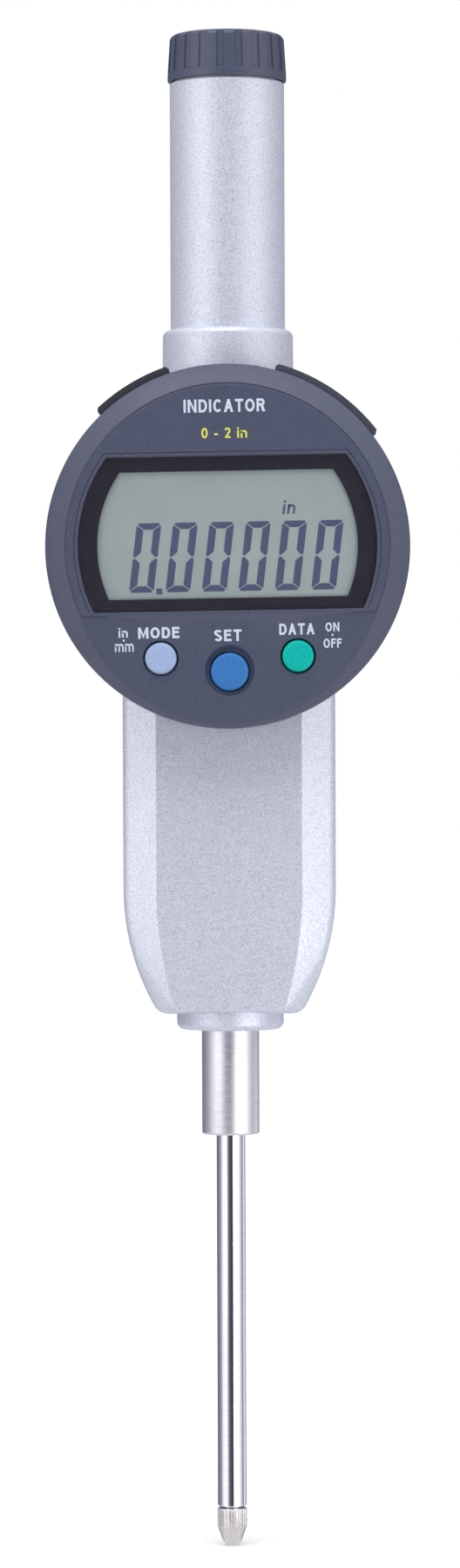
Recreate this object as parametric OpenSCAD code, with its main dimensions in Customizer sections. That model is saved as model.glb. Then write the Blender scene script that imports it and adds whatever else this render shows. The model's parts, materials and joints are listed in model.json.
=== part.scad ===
// Digital dial indicator with a long stroke, a stem mount and a face that turns on its case.
// Millimetres. +Z runs up the spindle's axis and -Y faces the reader.
// The origin is the middle of the stem's clamping length.

/* [Spindle] */
// Diameter of the spindle
spindle_d = 4.76; // [4.6:0.02:5]
// Travel of the spindle
travel = 50.8; // [25:0.1:50.8]
// Gap between the spindle and its bushings
running_gap = 0.05; // [0.02:0.01:0.08]
// Lowest point of the contact point, below the origin
tip_drop = 77.35; // [70:0.05:80]

/* [Stem] */
// Diameter of the stem
stem_d = 9.525; // [9.4:0.005:9.6]
// Length of the stem below the flange
stem_length = 17.5; // [14:0.5:20]
// Diameter of the flange above the stem
flange_d = 17.75; // [16:0.25:18.5]

/* [Case] */
// Half of the trunk's width
trunk_half = 17.55; // [17:0.05:18]
// Half of the width of the trunk's flat front
front_half = 12; // [11:0.1:13]
// Half of the case's depth
case_half_depth = 9.5; // [9.5:0.05:9.7]
// Thickness of the case's walls
wall = 2.2; // [1.8:0.1:2.4]
// Radius of the drum behind the face
drum_r = 27; // [26.5:0.1:27.5]

/* [Tube and cap] */
// Outer diameter of the tube
tube_d = 19; // [18.8:0.1:19.2]
// Height of the tube's shoulder, under the cap
tube_top = 165.8; // [164:0.1:167]
// Number of grip grooves in the cap
cap_grooves = 20; // [12:1:24]

/* [Face] */
// Height of the face's centre
face_z = 88.25; // [87.5:0.05:89]
// Outer radius of the face
face_r = 29.65; // [29.5:0.05:29.8]
// Radius of the flat front inside the ring
panel_r = 26; // [25.8:0.1:26.4]
// How far the face is turned from upright, in degrees
face_turn = 0.8; // [-5:0.1:5]
// Travel of the buttons
button_travel = 0.6; // [0.3:0.1:0.6]

/* [Lug] */
// Diameter of the lug's hole
lug_hole_d = 6.35; // [6:0.05:6.5]

/* [Hidden] */
$fn = 96;
fine = 180;
slip = 0.02;               // gap round a piece that is pressed or screwed in
seam = 0.25;               // the case and its cover are chamfered by this where they meet

// Heights on the axis
stem_end_z = -stem_length / 2;
flange_z = stem_length / 2;
// The case's long front edges: radius, how far the rounding turns, and the depth at which it begins
edge_r = 1.9;
edge_sweep = 66;
edge_front = case_half_depth - 3.8;
case_bottom_z = flange_z + 2.8;
taper_z = 32.3;            // the trunk's sides start to curve in here
taper_r = 40;
floor_z = case_bottom_z + 3.95;
web_z = 103;               // underside of the solid top of the case
tube_foot_z = 115.6;
collar_z = 124.75;
collar_r = 10.9;
collar_flat_z = 118.2;     // the collar's front is flat below this, to clear the face
cap_z = tube_top + 0.22;
cap_top_z = cap_z + 7.7;
cap_roof = 2.2;            // thickness of the cap's top
cap_r = 9.85;
neck_r = 8.85;             // the tube's narrow end, inside the cap
neck_h = 4;
spindle_top_z = cap_top_z - cap_roof - 2.1 - travel;
scale_h = travel + 23.2;   // the scale passes the detector over the whole travel
spindle_end_z = 6.5 - tip_drop;
spindle_r = spindle_d / 2;
stem_r = stem_d / 2;
stem_bore_r = 3.6;
tube_r = tube_d / 2;
tube_bore_r = 8.2;
guide_bush_r = 4.2;

// Depths of the face, measured forward from the spindle's axis
back_d = case_half_depth + 0.5;
back_inner_d = back_d + 1.8;
roof_d = 19.4;             // inside of the front panel
window_back_d = 21.05;
glass_d = 20.4;            // front of the display
front_d = 22;
board_d = 14.9;
board_t = 1.1;
switch_h = 1.15;
button_foot_d = board_d + board_t + switch_h + button_travel + 0.15;
hub_r = 11;
hub_bore_r = 8;
retainer_d = 12.15;

// The window and the display, as arcs cut off level above and below
window_r = 24.2;
window_top = 14.5;
window_low = -10.5;
glass_r = 21.1;
glass_top = 12.1;
glass_low = -8.5;

// The button panel is a plane that leans back from the window to the rim
panel_start = -11;
panel_start_d = 21.75;
panel_lean = 6;
round_button = [11.12, -18.06];
set_button_y = -20.4;
small_button_r = 2.55;
set_button_r = 3.05;
small_button_top = 21.5;
set_button_top = 21.3;

// The two covers on the rim: first and last angle, and outer radius
lid_angles = [36.5, 74];
lid_r = 30.75;
plug_angles = [107.4, 132.9];
plug_r = 30.85;
cover_in_r = 28.75;
battery_angle = (lid_angles[0] + lid_angles[1]) / 2;
socket_angle = (plug_angles[0] + plug_angles[1]) / 2;
battery_at = 20;
lid_screw_x = 29.35;       // depth of the screws' heads, from the face's axis
lid_screw_apart = 15.4;
battery_r = 5.8;

// Places that repeat
boss_angles = [90, 210, 330];
boss_at = 24.5;
post_spots = [[-17, -14], [17, -14], [-6, 20]];
hub_screw_angles = [30, 150, 270];
hub_screw_at = 9.5;
cover_spots = [[15, 36], [22.5, 80], [14, 107]];
lug_angles = [45, 135, 225, 315];
lug_screw_at = 9.5;
lug_reach = 7.5;           // from the cover to the lug hole's axis
lug_t = 6.3;
lug_r = 6.35;
cover_t = 2;
carrier_z = 17;
spring_x = 9.5;
spring_low_z = 20;
spring_high_z = 48.4;
rail_low_z = 20;
bracket_x = 15;            // the detector bracket's two screws
bracket_y = 8.2;
bracket_z = 79;
boss_reach = 5;            // how far forward of the axis the screw bosses start

// Colours
paint = [0.76, 0.80, 0.86];
slate = [0.36, 0.39, 0.47];
steel = [0.78, 0.79, 0.80];
brass = [0.78, 0.66, 0.36];
black = [0.12, 0.12, 0.14];
board_green = [0.10, 0.38, 0.24];

// ---- Helpers ----

// An x-z outline as a slab that ends at y = back and reaches forward by depth
module slab(back, depth) {
    translate([0, back, 0]) rotate([90, 0, 0]) linear_extrude(depth) children();
}

// Places a face piece: its own z is the distance forward of the spindle's axis
module on_face() {
    translate([0, 0, face_z]) rotate([90, 0, 0]) rotate([0, 0, face_turn]) children();
}

// The same frame without the turn, for what stays on the case
module on_hub() {
    translate([0, 0, face_z]) rotate([90, 0, 0]) children();
}

// A disc or ring between two depths of the face
module ring(r_out, r_in, low, high) {
    translate([0, 0, low]) difference() {
        cylinder(h = high - low, r = r_out, $fn = fine);
        if (r_in > 0) translate([0, 0, -1]) cylinder(h = high - low + 2, r = r_in, $fn = fine);
    }
}

// A stretch of a ring between two angles
module sector(a0, a1, r_in, r_out) {
    far = r_out * 1.5;
    intersection() {
        difference() {
            circle(r_out, $fn = fine);
            circle(r_in, $fn = fine);
        }
        polygon([[0, 0], far * [cos(a0), sin(a0)],
            far * [cos((a0 + a1) / 2), sin((a0 + a1) / 2)], far * [cos(a1), sin(a1)]]);
    }
}

// Outline of the window, or of the display, made larger by grow
module level_disc(r, top, low, grow = 0) {
    intersection() {
        circle(r + grow, $fn = fine);
        translate([-r - grow - 1, low - grow]) square([2 * (r + grow + 1), top - low + 2 * grow]);
    }
}

// Points of an arc in a plane
function arc(cx, cy, r, a0, a1, n = 12) =
    [for (i = [0:n]) let (a = a0 + (a1 - a0) * i / n) [cx + r * cos(a), cy + r * sin(a)]];

// A countersunk screw along -z of its own frame, head on top at z = 0
module flat_screw(head_r, shank_r, head_h, length) {
    rotate([180, 0, 0]) difference() {
        rotate_extrude($fn = 32) polygon([
            [0, 0], [head_r, 0], [head_r, 0.15], [shank_r, head_h],
            [shank_r, length - shank_r / 2], [shank_r / 2, length], [0, length]]);
        for (a = [0, 90]) rotate([0, 0, a])
            translate([-head_r * 0.55, -0.15, -1]) cube([head_r * 1.1, 0.3, 1 + head_h * 0.5]);
    }
}

// The hole that such a screw sits in
module flat_screw_hole(head_r, shank_r, head_h, length) {
    rotate([180, 0, 0]) {
        translate([0, 0, -1]) cylinder(h = 1.15, r = head_r + slip, $fn = 32);
        translate([0, 0, 0.15])
            cylinder(h = head_h - 0.15, r1 = head_r + slip, r2 = shank_r + slip, $fn = 32);
        cylinder(h = length + 0.3, r = shank_r + slip, $fn = 32);
    }
}

// ---- Case ----

// Outline of the trunk: straight sides, a long curve inward and small bottom corners
module trunk_outline(half, bend_r, corner, low, top = face_z) {
    inner = bend_r - corner;
    centre_x = half - bend_r;
    drop = taper_z - low - corner;
    corner_x = centre_x + sqrt(inner * inner - drop * drop);
    swing = asin(drop / inner);
    right = concat(
        arc(centre_x, taper_z, bend_r, 0, -swing, 24),
        arc(corner_x, low + corner, corner, -swing, -90, 6));
    left = [for (i = [len(right) - 1:-1:0]) [-right[i][0], right[i][1]]];
    polygon(concat([[half, top]], right, left, [[-half, top]]));
}

module case_shell() {
    depth = case_half_depth;
    hull() {
        slab(depth, 1) trunk_outline(trunk_half - seam, taper_r - seam, 2.5, case_bottom_z + seam);
        // The sides are rounded into the front chamfers in steps
        for (i = [0:4]) let (turn = edge_sweep * i / 4, inset = edge_r * (1 - cos(turn)))
            slab(depth - seam, depth - seam + edge_front + edge_r * sin(turn))
                trunk_outline(trunk_half - inset, taper_r + inset, 2.6 - inset / 5,
                    case_bottom_z + inset / 3);
        slab(depth, depth + 9.2) trunk_outline(front_half + 0.5, 70, 1.8, case_bottom_z + 0.5);
        slab(depth, depth * 2) trunk_outline(front_half, 70, 1.6, case_bottom_z + 0.9);
    }
    on_hub() rotate_extrude($fn = fine) polygon(concat(
        [[0, -depth], [drum_r - seam, -depth], [drum_r, seam - depth]],
        arc(drum_r - 2, depth - 2, 2, 0, 90, 8),
        [[0, depth]]));
}

module case_bores() {
    translate([0, 0, flange_z - 1]) cylinder(h = 12, r = stem_r - 0.25 + slip, $fn = fine);
    translate([0, 0, web_z - 1]) cylinder(h = tube_foot_z - web_z + 2, r = guide_bush_r + slip);
    translate([0, 0, tube_foot_z]) cylinder(h = 12, r = tube_r + slip, $fn = fine);
    translate([-4.2, 4.7, web_z - 1]) cube([8.4, 2.3, tube_foot_z - web_z + 2]);
}

module main_case() color(paint) {
    inside_x = 2 * (trunk_half - wall);
    difference() {
        union() {
            difference() {
                case_shell();
                slab(case_half_depth + 1, 2 * case_half_depth + 1 - wall)
                    trunk_outline(trunk_half - wall, taper_r - wall, 1.2, floor_z, 70);
                intersection() {
                    on_hub() translate([0, 0, -case_half_depth - 1])
                        cylinder(h = 2 * case_half_depth + 1 - wall, r = drum_r - 2.4, $fn = fine);
                    translate([-40, -20, face_z - 20]) cube([80, 40, web_z - face_z + 20]);
                }
                translate([-inside_x / 2, wall - case_half_depth, 50])
                    cube([inside_x, 2 * case_half_depth, 40]);
            }
            for (side = [-1, 1], s = cover_spots)
                translate([side * s[0], 0, s[1]]) rotate([90, 0, 0])
                    translate([0, 0, -case_half_depth])
                        cylinder(h = case_half_depth + boss_reach, r = 1.9);
            for (side = [-1, 1])
                translate([side * bracket_x, bracket_y, bracket_z]) rotate([90, 0, 0])
                    cylinder(h = 16, r = 2);
            difference() {
                rotate_extrude($fn = fine) polygon(concat(
                    [[0, 110], [collar_r + 0.05, 110]],
                    arc(collar_r - 1.2, collar_z - 1.1, 1.1, 0, 90, 8),
                    [[0, collar_z]]));
                translate([-20, -20 - case_half_depth, 100]) cube([40, 20, collar_flat_z - 100]);
                translate([-20, case_half_depth, 100]) cube([40, 20, face_z + drum_r + 0.2 - 100]);
            }
            rotate_extrude($fn = fine) polygon(concat(
                [[0, case_bottom_z + 1], [0, flange_z]],
                arc(flange_d / 2 - 1.2, flange_z + 1.2, 1.2, -90, 0, 8),
                [[flange_d / 2, case_bottom_z + 1]]));
        }
        case_bores();
        on_hub() translate([0, 0, case_half_depth - wall - 1]) cylinder(h = wall + 2, r = hub_bore_r);
        on_hub() for (a = hub_screw_angles)
            rotate([0, 0, a]) translate([hub_screw_at, 0, 0]) cylinder(h = 12, r = 0.72, $fn = 32);
        at_cover_screws() flat_screw_hole(2, 1, 1.2, 8);
        for (side = [-1, 1])
            translate([side * bracket_x, 3, bracket_z]) rotate([-90, 0, 0])
                cylinder(h = 7, r = 0.8 + slip, $fn = 32);
    }
}

// The cover's six screws, with their heads level with its back
module at_cover_screws() {
    for (side = [-1, 1], s = cover_spots)
        translate([side * s[0], case_half_depth + cover_t, s[1]]) rotate([-90, 0, 0]) children();
}

module rear_cover() color(paint) difference() {
    union() {
        hull() {
            slab(case_half_depth + 1, 1) trunk_outline(trunk_half - seam, taper_r - seam, 2.5,
                case_bottom_z + seam);
            slab(case_half_depth + 1.5, 1.5 - seam) trunk_outline(trunk_half, taper_r, 2.6, case_bottom_z);
            slab(case_half_depth + cover_t, 1)
                trunk_outline(trunk_half - 0.5, taper_r - 0.5, 2.4, case_bottom_z + 0.5);
        }
        on_hub() rotate_extrude($fn = fine) polygon([
            [0, -case_half_depth], [drum_r - seam, -case_half_depth],
            [drum_r, -case_half_depth - seam], [drum_r, -case_half_depth - 1.5],
            [drum_r - 0.5, -case_half_depth - cover_t], [0, -case_half_depth - cover_t]]);
    }
    at_cover_screws() flat_screw_hole(2, 1, 1.2, 8);
    at_lug_screws(0) cylinder(h = 14, r = 1 + slip, $fn = 32);
}

module rear_cover_screws() color(black) at_cover_screws() flat_screw(2, 1, 1.2, 8);

// The lug's four screws, seen from behind, with their heads at y
module at_lug_screws(y) {
    for (a = lug_angles) translate([lug_screw_at * cos(a), y, face_z + lug_screw_at * sin(a)])
        rotate([-90, 0, 0]) children();
}

module lug_back() color(slate) {
    base_y = case_half_depth + cover_t;
    hole_y = base_y + lug_reach;
    difference() {
        union() {
            on_hub() rotate_extrude($fn = fine) polygon([[0, -base_y], [13, -base_y],
                [13, -base_y - 1.5], [12.5, -base_y - 2], [0, -base_y - 2]]);
            translate([-lug_t / 2, 0, face_z]) rotate([90, 0, 90]) linear_extrude(lug_t) union() {
                translate([base_y + 1, -lug_r]) square([lug_reach - 1, 2 * lug_r]);
                translate([hole_y, 0]) circle(lug_r);
            }
        }
        translate([-5, hole_y, face_z]) rotate([0, 90, 0]) cylinder(h = 10, r = lug_hole_d / 2);
        at_lug_screws(base_y + 2) flat_screw_hole(1.9, 1, 1.1, 4);
    }
}

module lug_screws() color(steel)
    at_lug_screws(case_half_depth + cover_t + 2) flat_screw(1.9, 1, 1.1, 4);

module upper_tube() color(paint) rotate_extrude($fn = fine) polygon([
    [tube_bore_r, tube_foot_z], [tube_r, tube_foot_z], [tube_r, tube_top - 0.2],
    [tube_r - 0.2, tube_top], [neck_r, tube_top], [neck_r, tube_top + neck_h - 0.3],
    [neck_r - 0.25, tube_top + neck_h], [tube_bore_r, tube_top + neck_h]]);

module tube_cap() color(slate) difference() {
    rotate_extrude($fn = fine) polygon(concat(
        [[neck_r + 0.1, cap_z], [cap_r - 0.2, cap_z]],
        arc(cap_r - 0.2, cap_z + 0.2, 0.2, -90, 0, 4),
        [[cap_r, cap_z + 1.1]],
        arc(8.5, cap_top_z - 1, 1, 0, 90, 8),
        [[0, cap_top_z], [0, cap_top_z - cap_roof], [7, cap_top_z - cap_roof],
        [neck_r + 0.1, cap_z + neck_h + 0.2]]));
    // The grooves lean inward with the cap's side
    for (i = [0:cap_grooves - 1]) rotate([0, 0, (i - 0.33) * 360 / cap_grooves])
        translate([-0.67, 0.3 - cap_r, cap_z + 1.35]) rotate([-3.6, 0, 0])
            translate([0, -1.3, 0]) cube([1.34, 1.3, 10]);
}

module stem() color(steel) rotate_extrude($fn = fine) polygon(concat(
    [[stem_bore_r, stem_end_z]],
    arc(stem_r - 0.4, stem_end_z + 0.4, 0.4, -90, 0, 4),
    [[stem_r, flange_z - slip], [stem_r - 0.25, flange_z - slip],
    [stem_r - 0.25, floor_z], [stem_bore_r, floor_z]]));

module lower_bushing() color(brass) rotate_extrude($fn = fine) polygon([
    [spindle_r + running_gap, stem_end_z + 2.4], [stem_bore_r - slip, stem_end_z + 2.4],
    [stem_bore_r - slip, floor_z], [5.6, floor_z], [5.6, floor_z + 0.8],
    [spindle_r + running_gap, floor_z + 0.8]]);

module spindle_wiper() color(black) rotate_extrude($fn = fine) polygon([
    [spindle_r + 0.08, stem_end_z + 0.6], [stem_bore_r - slip, stem_end_z + 0.3],
    [stem_bore_r - slip, stem_end_z + 2.3], [spindle_r + 0.08, stem_end_z + 2.3]]);

module upper_bushing() color(brass) rotate_extrude($fn = fine) polygon([
    [spindle_r + running_gap, web_z - 0.8], [4.6, web_z - 0.8], [4.6, web_z - slip],
    [guide_bush_r, web_z - slip], [guide_bush_r, tube_foot_z - 0.6],
    [spindle_r + running_gap, tube_foot_z - 0.6]]);

module guide_rail() color(steel) difference() {
    translate([-12.6, -4, rail_low_z]) cube([4.2, 8, web_z - rail_low_z]);
    translate([-12, -2.05, rail_low_z - 1]) cube([5, 4.1, web_z - rail_low_z + 2]);
}

module detector_board() color(board_green) difference() {
    translate([-9, 7, 62]) cube([18, 1.2, 27]);
    for (side = [-1, 1]) translate([side * 7.5, 5, 87.5]) rotate([-90, 0, 0]) cylinder(h = 5, r = 0.6);
}

module detector_chip() color(black) {
    translate([4.8, 5.9, 63]) cube([3.6, 1.1, 5]);
    translate([-8, 6.2, 63.5]) cube([2.4, 0.8, 3]);
}

module detector_bracket() color(steel) difference() {
    union() {
        translate([-bracket_x - 2, bracket_y, bracket_z - 2.5]) cube([2 * bracket_x + 4, 0.6, 5]);
        translate([-6, bracket_y, 70]) cube([12, 0.6, 12]);
    }
    for (side = [-1, 1]) translate([side * bracket_x, 0, bracket_z]) rotate([-90, 0, 0])
        cylinder(h = 12, r = 0.8 + slip);
}

module bracket_screws() color(steel)
    for (side = [-1, 1]) translate([side * bracket_x, 0, bracket_z]) rotate([-90, 0, 0]) difference() {
        union() {
            translate([0, 0, 3.5]) cylinder(h = 5.4, r = 0.8, $fn = 32);
            translate([0, 0, 8.8]) cylinder(h = 0.55, r = 1.6, $fn = 32);
        }
        translate([-1, -0.15, 9.05]) cube([2, 0.3, 1]);
    }

// A helix of wire as one closed sweep
module return_spring() color(steel) {
    coil_r = 1.7;
    wire_r = 0.22;
    turns = 11;
    steps = 12;
    sides = 5;
    rings = turns * steps;
    rise = spring_high_z - spring_low_z - 2 * wire_r;
    points = [for (i = [0:rings], k = [0:sides - 1])
        let (a = 360 * i / steps, b = 360 * k / sides, r = coil_r + wire_r * cos(b))
        [spring_x + r * cos(a), r * sin(a), spring_low_z + wire_r + rise * i / rings + wire_r * sin(b)]];
    skin = [for (i = [0:rings - 1], k = [0:sides - 1])
        let (n = (k + 1) % sides, p = i * sides, q = p + sides)
        each [[p + k, q + k, q + n], [p + k, q + n, p + n]]];
    ends = [[for (k = [0:sides - 1]) k], [for (k = [sides - 1:-1:0]) rings * sides + k]];
    polyhedron(points, concat(skin, ends));
}

module spring_post() color(steel)
    translate([spring_x, 2.5, spring_low_z - 1.6]) rotate([90, 0, 0]) {
        cylinder(h = 9.8, r = 1, $fn = 32);
        cylinder(h = 0.8, r = 1.5, $fn = 32);
    }

module lower_bumper() color(black) rotate_extrude() polygon(concat(
    [[3.1, floor_z + 0.85], [5.4, floor_z + 0.85]],
    [[5.6, floor_z + 1.2], [5.4, carrier_z - 0.1], [3.1, carrier_z - 0.1]]));

module swivel_hub() color(steel) on_hub() difference() {
    ring(hub_r, hub_bore_r, case_half_depth, retainer_d);
    for (a = hub_screw_angles)
        rotate([0, 0, a]) translate([hub_screw_at, 0, 5]) cylinder(h = 12, r = 0.72, $fn = 32);
}

module hub_retainer() color(steel) on_hub() difference() {
    ring(13.4, hub_bore_r, retainer_d, retainer_d + 0.85);
    for (a = hub_screw_angles)
        rotate([0, 0, a]) translate([hub_screw_at, 0, retainer_d + 0.85])
            flat_screw_hole(1.35, 0.7, 0.7, 5.2);
}

module hub_screws() color(steel) on_hub()
    for (a = hub_screw_angles)
        rotate([0, 0, a]) translate([hub_screw_at, 0, retainer_d + 0.85])
            flat_screw(1.35, 0.7, 0.7, 5.2);

module friction_ring() color(black) on_hub()
    ring(17, 14, case_half_depth, case_half_depth + 0.3);

module flex_coil() color([0.85, 0.55, 0.2]) on_hub() {
    for (i = [0:3]) ring(3 + 1.1 * i, 2.6 + 1.1 * i, 8.2, 12.6);
    translate([2.6, -0.2, 8.2]) cube([3.7, 0.4, 4.4]);
}

// ---- Spindle ----

module spindle() color(steel) difference() {
    rotate_extrude($fn = fine) polygon([
        [0, spindle_end_z], [spindle_r - 0.3, spindle_end_z], [spindle_r, spindle_end_z + 0.3],
        [spindle_r, spindle_top_z - 3], [spindle_r - 0.3, spindle_top_z - 2.7], [0, spindle_top_z - 2.7]]);
    translate([0, 0, spindle_end_z - 1]) cylinder(h = 6, r = 1.4 + slip, $fn = 32);
}

module contact_point() color(steel) {
    ball_r = 1.9;
    knurl_r = 2.42;
    knurls = 28;
    knurl_low = spindle_end_z - 3.2;
    difference() {
        rotate_extrude($fn = 96) polygon(concat(
            [[0, spindle_end_z + 4.5], [1.4, spindle_end_z + 4.5], [1.4, spindle_end_z - 0.2],
            [knurl_r - 0.2, spindle_end_z - 0.2], [knurl_r, spindle_end_z - 0.4],
            [knurl_r, knurl_low]],
            arc(0, ball_r - tip_drop, ball_r, -31.5, -90, 7)));
        // Straight knurling that runs out over the top of the cone
        for (i = [0:knurls - 1]) rotate([0, 0, i * 360 / knurls])
            translate([0, -knurl_r - 0.1, knurl_low - 0.4]) rotate([0, 0, 45])
                translate([-0.16, -0.16, 0]) cube([0.32, 0.32, spindle_end_z - knurl_low + 0.35]);
    }
}

module scale_carrier() color(steel) difference() {
    union() {
        translate([-6, -4.2, carrier_z]) cube([12, 9.2, 14]);
        translate([-3.4, 5 - slip, carrier_z]) cube([6.8, 1 + slip, scale_h]);
        translate([4.5, -1.5, carrier_z + 13]) cube([1.5, 3, 20]);
        translate([4.5, -1.5, spring_high_z + 0.1]) cube([7, 3, 1.5]);
    }
    translate([0, 0, carrier_z - 1]) cylinder(h = 20, r = spindle_r + slip);
    translate([-8, 0, 24]) rotate([0, 90, 0]) cylinder(h = 6, r = 0.9 + slip, $fn = 32);
    translate([0, -6, carrier_z + 3]) rotate([-90, 0, 0]) cylinder(h = 6, r = 1.2 + slip, $fn = 32);
}

module carrier_screw() color(black) translate([0, 0, carrier_z + 3]) rotate([90, 0, 0]) difference() {
    union() {
        translate([0, 0, spindle_r + 0.05]) cylinder(h = 2, r = 1.2, $fn = 32);
        translate([0, 0, 4.2 + slip]) cylinder(h = 1.6, r = 2.1, $fn = 32);
        translate([0, 0, 3]) cylinder(h = 2, r = 1.2, $fn = 32);
    }
    translate([0, 0, 4.9]) cylinder(h = 2, r = 1.1, $fn = 6);
}

module scale_strip() color([0.55, 0.62, 0.60])
    translate([-3.8, 6 + slip, carrier_z]) cube([7.6, 0.7, scale_h]);

module guide_roller() color(brass) translate([0, 0, 24]) rotate([0, -90, 0]) {
    translate([0, 0, 3]) cylinder(h = 6, r = 0.9, $fn = 32);
    translate([0, 0, 8.6]) cylinder(h = 3, r = 2);
}

module spindle_top() color(black) rotate_extrude() polygon(concat(
    [[0, spindle_top_z - 2.68], [3.1, spindle_top_z - 2.68]],
    arc(2.6, spindle_top_z - 0.5, 0.5, 0, 90, 4),
    [[0, spindle_top_z]]));

// ---- Face ----

// The leaning plane of the button panel, as everything in front of it
module before_panel() {
    translate([-40, panel_start, panel_start_d]) rotate([panel_lean, 0, 0])
        translate([0, -40, 0]) cube([80, 40, 10]);
}

module bezel() color(slate) on_face() {
    difference() {
        union() {
            difference() {
                rotate_extrude($fn = fine) polygon(concat(
                    [[27.4, back_d + 0.4], [face_r - 0.4, back_d + 0.4], [face_r, back_d + 0.8]],
                    arc(face_r - 0.8, 18.9, 0.8, 0, 50, 5),
                    // A fine groove runs between the ring and the flat front
                    [[panel_r + 0.4, front_d - 0.1], [panel_r + 0.3, front_d - 0.22],
                    [panel_r + 0.15, front_d - 0.22], [panel_r, front_d], [0, front_d],
                    [0, roof_d], [24.5, roof_d], [27.4, 17.4]]));
                before_panel();
            }
            // Crescent that steps down from the window to the button panel
            hull() {
                translate([0, 0, 20.8]) linear_extrude(0.82) intersection() {
                    translate([0, 175.7]) circle(188, $fn = 720);
                    translate([-21.6, -14]) square([43.2, 3.2]);
                }
                translate([-21.6, -10.9, 20.8]) cube([43.2, 0.2, front_d - 20.8]);
            }
            for (a = boss_angles) rotate([0, 0, a]) translate([boss_at, 0, back_inner_d])
                cylinder(h = roof_d - back_inner_d + 0.3, r = 2);
        }
        translate([0, 0, window_back_d - 0.22]) linear_extrude(5)
            level_disc(window_r, window_top, window_low, 0.05);
        translate([0, 0, 15]) linear_extrude(10) level_disc(window_r, window_top, window_low, -1.5);
        // Fine groove round the window
        translate([0, 0, front_d - 0.15]) linear_extrude(5) difference() {
            level_disc(window_r, window_top, window_low, 0.72);
            level_disc(window_r, window_top, window_low, 0.56);
            translate([-40, -20]) square([80, 9.6]);
        }
        // Recesses of the two covers, and the ways in behind them
        translate([0, 0, 11.4]) linear_extrude(7.4) {
            sector(lid_angles[0] - 0.5, lid_angles[1] + 0.5, 28.6, 31);
            sector(plug_angles[0] - 0.5, plug_angles[1] + 0.5, 28.6, 31);
        }
        rotate([0, 0, battery_angle]) translate([20, -6.2, back_inner_d]) cube([12, 12.4, 6.2]);
        rotate([0, 0, socket_angle]) translate([22, -4.8, back_inner_d]) cube([12, 9.6, 3.1]);
        for (a = boss_angles) rotate([0, 0, a]) translate([boss_at, 0, back_inner_d - 1])
            cylinder(h = 6, r = 0.9 + slip, $fn = 32);
        at_lid_screws() translate([0, 0, -4]) cylinder(h = 6, r = 0.72, $fn = 32);
        for (side = [-1, 1]) translate([side * round_button[0], round_button[1], 17])
            cylinder(h = 8, r = small_button_r + 0.35);
        translate([0, set_button_y, 17]) cylinder(h = 8, r = set_button_r + 0.3);
        translate([0, set_button_y, 20.1]) cylinder(h = 8, r1 = 3.7, r2 = 8.5);
    }
}

module face_back() color(slate) on_face() difference() {
    union() {
        ring(27.2, hub_r + 0.06, back_d, back_inner_d);
        for (s = post_spots) translate([s[0], s[1], back_d + 1])
            cylinder(h = board_d - back_d - 1, r = 1.5);
    }
    for (a = boss_angles) rotate([0, 0, a]) translate([boss_at, 0, back_d]) rotate([180, 0, 0])
        flat_screw_hole(1.9, 0.9, 1.1, 5);
}

module face_screws() color(steel) on_face()
    for (a = boss_angles) rotate([0, 0, a]) translate([boss_at, 0, back_d]) rotate([180, 0, 0])
        flat_screw(1.9, 0.9, 1.1, 5);

module window() color([0.55, 0.60, 0.62, 0.5]) on_face()
    translate([0, 0, window_back_d]) linear_extrude(front_d - 0.05 - window_back_d)
        level_disc(window_r, window_top, window_low);

module display_mask() color(black) on_face()
    translate([0, 0, window_back_d - 0.2]) linear_extrude(0.18) difference() {
        level_disc(window_r, window_top, window_low);
        level_disc(glass_r, glass_top, glass_low);
    }

module lcd_panel() color([0.60, 0.66, 0.66]) on_face()
    translate([0, 0, 19.05]) linear_extrude(glass_d - 19.05)
        level_disc(glass_r, glass_top, glass_low, 0.4);

module zebra_strip() color(black) on_face()
    translate([-15, glass_low, board_d + board_t]) cube([30, 2, 19.03 - board_d - board_t]);

module main_board() color(board_green) on_face() difference() {
    translate([0, 0, board_d]) cylinder(h = board_t, r = 26.4, $fn = fine);
    for (a = boss_angles) rotate([0, 0, a]) translate([boss_at, 0, 10]) cylinder(h = 10, r = 2.4);
    rotate([0, 0, battery_angle]) translate([battery_at, 0, 10]) cylinder(h = 10, r = battery_r + 0.6);
    rotate([0, 0, battery_angle]) translate([battery_at, -battery_r - 0.6, 10])
        cube([10, 2 * battery_r + 1.2, 10]);
}

module board_parts() color(black) on_face() {
    translate([-21, 0, board_d - 1.22]) cube([6.5, 6.5, 1.2]);
    translate([-20, -6, board_d - 1.02]) cube([4, 2, 1]);
    translate([15.5, -7, board_d - 1.42]) cube([3, 6, 1.4]);
    translate([-4, -1.5, board_d - 1.5]) cube([8, 3, 1.48]);
    for (i = [0:3]) translate([15 + 2 * i, 3, board_d - 0.62]) cube([1.2, 2, 0.6]);
}

module key_switches() color(steel) on_face()
    for (s = [[-round_button[0], round_button[1]], [round_button[0], round_button[1]], [0, set_button_y]])
        translate([s[0], s[1], board_d + board_t + slip]) {
            translate([-2, -2, 0]) cube([4, 4, 0.7]);
            cylinder(h = switch_h, r = 1.2);
        }

module battery_cell() color([0.75, 0.76, 0.78]) on_face()
    rotate([0, 0, battery_angle]) translate([battery_at, 0, 12.4])
        rotate_extrude() polygon([[0, 0], [4.9, 0], [4.9, 0.4], [battery_r - 0.3, 0.4],
            [battery_r, 0.7], [battery_r, 5.1], [battery_r - 0.3, 5.4], [0, 5.4]]);

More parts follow.
